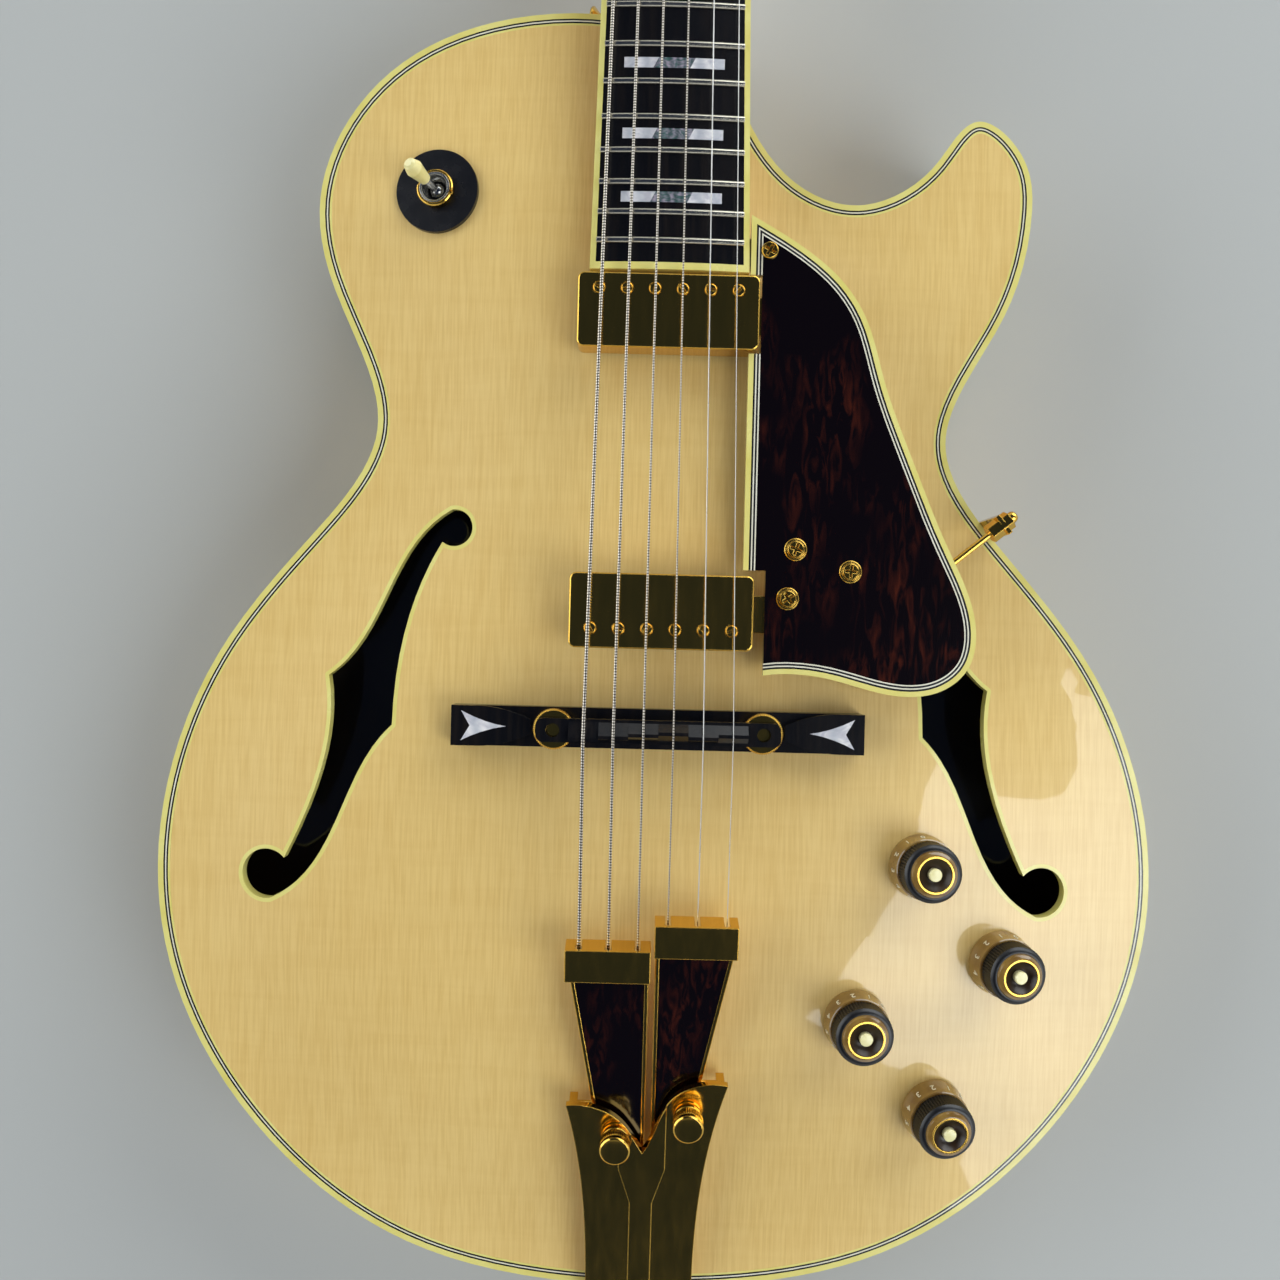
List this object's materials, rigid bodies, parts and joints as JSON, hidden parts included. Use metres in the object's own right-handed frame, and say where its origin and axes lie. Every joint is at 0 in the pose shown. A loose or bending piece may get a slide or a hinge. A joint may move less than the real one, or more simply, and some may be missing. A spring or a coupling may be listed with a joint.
{
  "type": "archtop guitar",
  "caption": "Hollow arched guitar with a rounded cutaway, f-shaped sound holes, floating pickups, a split tailpiece and turning controls, played by plucking its strings.",
  "frame": {"origin": "middle of the guitar's length and width, at the height of the back's lowest place", "axes": "+X to the treble side, +Y to the head, +Z out of the top"},
  "size_m": [0.378, 1.0342, 0.1128],
  "materials": {
    "blonde_top": "gloss clear coat over blonde figured wood",
    "blonde_maple": "gloss clear coat over blonde maple",
    "bare_spruce": "unfinished",
    "cream_binding": "polished cream",
    "black_binding": "polished black",
    "white_binding": "polished white",
    "ebony": "oiled ebony",
    "pearl": "polished pearl",
    "abalone": "polished abalone",
    "nickel_silver": "polished fret wire",
    "bone": "polished bone",
    "steel": "plain steel",
    "gold_plate": "polished gold plate",
    "wound_string": "nickel winding",
    "plain_string": "drawn steel",
    "tortoise": "polished tortoiseshell celluloid",
    "black_plastic": "moulded",
    "amber_knob": "clear amber with a black rubber grip",
    "cream_tip": "moulded cream"
  },
  "bodies": {
    "guitar": {"top_plate": "blonde_top", "back_plate": "blonde_maple", "sides": "blonde_maple", "body_binding": "cream_binding", "inner_frame": "bare_spruce", "tone_bars": "bare_spruce", "fretboard": "ebony", "fretboard_binding": "cream_binding", "abalone_inlays": "abalone", "frets": "nickel_silver", "nut": "bone", "neck": "blonde_maple", "truss_rod": "steel", "head_overlay": "ebony", "truss_rod_cover": "ebony", "tuner_housings": "gold_plate", "tailpiece_base": "gold_plate", "wound_strings": "wound_string", "plain_strings": "plain_string", "bridge_base": "ebony", "pearl_inlays": "pearl", "bridge_posts": "gold_plate", "pickup_covers": "gold_plate", "pickup_coils": "black_plastic", "pickguard": "tortoise", "pickguard_binding": "cream_binding", "black_lines": "black_binding", "white_lines": "white_binding", "pickguard_brackets": "gold_plate", "controls": "steel", "switch_ring": "black_plastic", "output_jack": "gold_plate", "fasteners": "gold_plate"},
    "knob_neck_volume": {"knob_neck_volume": "amber_knob"},
    "knob_bridge_volume": {"knob_bridge_volume": "amber_knob"},
    "knob_neck_tone": {"knob_neck_tone": "amber_knob"},
    "knob_bridge_tone": {"knob_bridge_tone": "amber_knob"},
    "switch": {"switch_lever": "gold_plate", "switch_tip": "cream_tip"},
    "tuner_button_1": {"tuner_button_1": "gold_plate"},
    "tuner_post_1": {"tuner_post_1": "gold_plate"},
    "tuner_button_2": {"tuner_button_2": "gold_plate"},
    "tuner_post_2": {"tuner_post_2": "gold_plate"},
    "tuner_button_3": {"tuner_button_3": "gold_plate"},
    "tuner_post_3": {"tuner_post_3": "gold_plate"},
    "tuner_button_4": {"tuner_button_4": "gold_plate"},
    "tuner_post_4": {"tuner_post_4": "gold_plate"},
    "tuner_button_5": {"tuner_button_5": "gold_plate"},
    "tuner_post_5": {"tuner_post_5": "gold_plate"},
    "tuner_button_6": {"tuner_button_6": "gold_plate"},
    "tuner_post_6": {"tuner_post_6": "gold_plate"},
    "bridge_saddle": {"bridge_saddle": "ebony"},
    "bass_thumbwheel": {"bass_thumbwheel": "gold_plate"},
    "treble_thumbwheel": {"treble_thumbwheel": "gold_plate"},
    "tailpiece_bass_arm": {"tailpiece_bass_arm": "gold_plate", "tailpiece_bass_inlay": "tortoise"},
    "tailpiece_bass_thumbscrew": {"tailpiece_bass_thumbscrew": "gold_plate"},
    "tailpiece_treble_arm": {"tailpiece_treble_arm": "gold_plate", "tailpiece_treble_inlay": "tortoise"},
    "tailpiece_treble_thumbscrew": {"tailpiece_treble_thumbscrew": "gold_plate"}
  },
  "joints": [
    {"name": "knob_neck_volume_turn", "type": "hinge", "parent": "guitar", "child": "knob_neck_volume", "pos_m": [0.0991, -0.3352, 0.08342], "axis": [0.0702, 0.0049, 0.9975], "range_deg": [-150, 150]},
    {"name": "knob_bridge_volume_turn", "type": "hinge", "parent": "guitar", "child": "knob_bridge_volume", "pos_m": [0.1304, -0.37111, 0.07943], "axis": [0.1467, -0.0509, 0.9879], "range_deg": [-150, 150]},
    {"name": "knob_neck_tone_turn", "type": "hinge", "parent": "guitar", "child": "knob_neck_tone", "pos_m": [0.0763, -0.3935, 0.08323], "axis": [0.0502, -0.0574, 0.9971], "range_deg": [-150, 150]},
    {"name": "knob_bridge_tone_turn", "type": "hinge", "parent": "guitar", "child": "knob_bridge_tone", "pos_m": [0.1073, -0.4278, 0.0771], "axis": [0.1168, -0.1322, 0.9843], "range_deg": [-150, 150]},
    {"name": "switch_tilt", "type": "hinge", "parent": "guitar", "child": "switch", "pos_m": [-0.0878, -0.08631, 0.07746], "axis": [-0.4977, -0.8667, -0.0322], "range_deg": [-34, 0]},
    {"name": "tuner_button_1_turn", "type": "hinge", "parent": "guitar", "child": "tuner_button_1", "pos_m": [-0.0305, 0.38488, 0.03553], "axis": [-1, 0, 0], "continuous": true},
    {"name": "tuner_post_1_turn", "type": "hinge", "parent": "guitar", "child": "tuner_post_1", "pos_m": [-0.022, 0.39098, 0.05479], "axis": [0, 0.3024, 0.9532], "continuous": true},
    {"name": "tuner_button_2_turn", "type": "hinge", "parent": "guitar", "child": "tuner_button_2", "pos_m": [-0.0305, 0.42491, 0.02283], "axis": [-1, 0, 0], "continuous": true},
    {"name": "tuner_post_2_turn", "type": "hinge", "parent": "guitar", "child": "tuner_post_2", "pos_m": [-0.022, 0.43102, 0.04209], "axis": [0, 0.3024, 0.9532], "continuous": true},
    {"name": "tuner_button_3_turn", "type": "hinge", "parent": "guitar", "child": "tuner_button_3", "pos_m": [-0.0305, 0.46494, 0.01013], "axis": [-1, 0, 0], "continuous": true},
    {"name": "tuner_post_3_turn", "type": "hinge", "parent": "guitar", "child": "tuner_post_3", "pos_m": [-0.022, 0.47105, 0.02939], "axis": [0, 0.3024, 0.9532], "continuous": true},
    {"name": "tuner_button_4_turn", "type": "hinge", "parent": "guitar", "child": "tuner_button_4", "pos_m": [0.0305, 0.38488, 0.03553], "axis": [1, 0, 0], "continuous": true},
    {"name": "tuner_post_4_turn", "type": "hinge", "parent": "guitar", "child": "tuner_post_4", "pos_m": [0.022, 0.39098, 0.05479], "axis": [0, 0.3024, 0.9532], "continuous": true},
    {"name": "tuner_button_5_turn", "type": "hinge", "parent": "guitar", "child": "tuner_button_5", "pos_m": [0.0305, 0.42491, 0.02283], "axis": [1, 0, 0], "continuous": true},
    {"name": "tuner_post_5_turn", "type": "hinge", "parent": "guitar", "child": "tuner_post_5", "pos_m": [0.022, 0.43102, 0.04209], "axis": [0, 0.3024, 0.9532], "continuous": true},
    {"name": "tuner_button_6_turn", "type": "hinge", "parent": "guitar", "child": "tuner_button_6", "pos_m": [0.0305, 0.46494, 0.01013], "axis": [1, 0, 0], "continuous": true},
    {"name": "tuner_post_6_turn", "type": "hinge", "parent": "guitar", "child": "tuner_post_6", "pos_m": [0.022, 0.47105, 0.02939], "axis": [0, 0.3024, 0.9532], "continuous": true},
    {"name": "saddle_height", "type": "slide", "parent": "guitar", "child": "bridge_saddle", "axis": [0, 0, 1], "range_m": [-0.003, 0.003], "deforming": ["wound_strings", "plain_strings"]},
    {"name": "bass_thumbwheel_turn", "type": "hinge", "parent": "bridge_saddle", "child": "bass_thumbwheel", "pos_m": [-0.0375, -0.2863, 0.1], "axis": [0, 0, 1], "range_deg": [-1351, 1351]},
    {"name": "treble_thumbwheel_turn", "type": "hinge", "parent": "bridge_saddle", "child": "treble_thumbwheel", "pos_m": [0.0375, -0.2863, 0.1], "axis": [0, 0, 1], "range_deg": [-1351, 1351]},
    {"name": "tailpiece_bass_arm_tilt", "type": "hinge", "parent": "guitar", "child": "tailpiece_bass_arm", "pos_m": [0, -0.42509, 0.08826], "axis": [1, 0, 0], "range_deg": [0, 3], "deforming": ["wound_strings"]},
    {"name": "tailpiece_bass_thumbscrew_turn", "type": "hinge", "parent": "guitar", "child": "tailpiece_bass_thumbscrew", "pos_m": [-0.0118, -0.43478, 0.09041], "axis": [0, -0.2164, 0.9763], "range_deg": [-244, 0]},
    {"name": "tailpiece_treble_arm_tilt", "type": "hinge", "parent": "guitar", "child": "tailpiece_treble_arm", "pos_m": [0, -0.41591, 0.0903], "axis": [1, 0, 0], "range_deg": [0, 3], "deforming": ["wound_strings", "plain_strings"]},
    {"name": "tailpiece_treble_thumbscrew_turn", "type": "hinge", "parent": "guitar", "child": "tailpiece_treble_thumbscrew", "pos_m": [0.0144, -0.42561, 0.09245], "axis": [0, -0.2164, 0.9763], "range_deg": [-244, 0]}
  ],
  "couplings": [
    {"joint": "tuner_post_1_turn", "follows": "tuner_button_1_turn", "ratio": 0.0625},
    {"joint": "tuner_post_2_turn", "follows": "tuner_button_2_turn", "ratio": 0.0625},
    {"joint": "tuner_post_3_turn", "follows": "tuner_button_3_turn", "ratio": 0.0625},
    {"joint": "tuner_post_4_turn", "follows": "tuner_button_4_turn", "ratio": 0.0625},
    {"joint": "tuner_post_5_turn", "follows": "tuner_button_5_turn", "ratio": 0.0625},
    {"joint": "tuner_post_6_turn", "follows": "tuner_button_6_turn", "ratio": 0.0625},
    {"joint": "bass_thumbwheel_turn", "follows": "saddle_height", "rad_per_m": 7854},
    {"joint": "treble_thumbwheel_turn", "follows": "saddle_height", "rad_per_m": 7854},
    {"joint": "tailpiece_bass_thumbscrew_turn", "follows": "tailpiece_bass_arm_tilt", "ratio": -80.784},
    {"joint": "tailpiece_treble_thumbscrew_turn", "follows": "tailpiece_treble_arm_tilt", "ratio": -80.784}
  ]
}
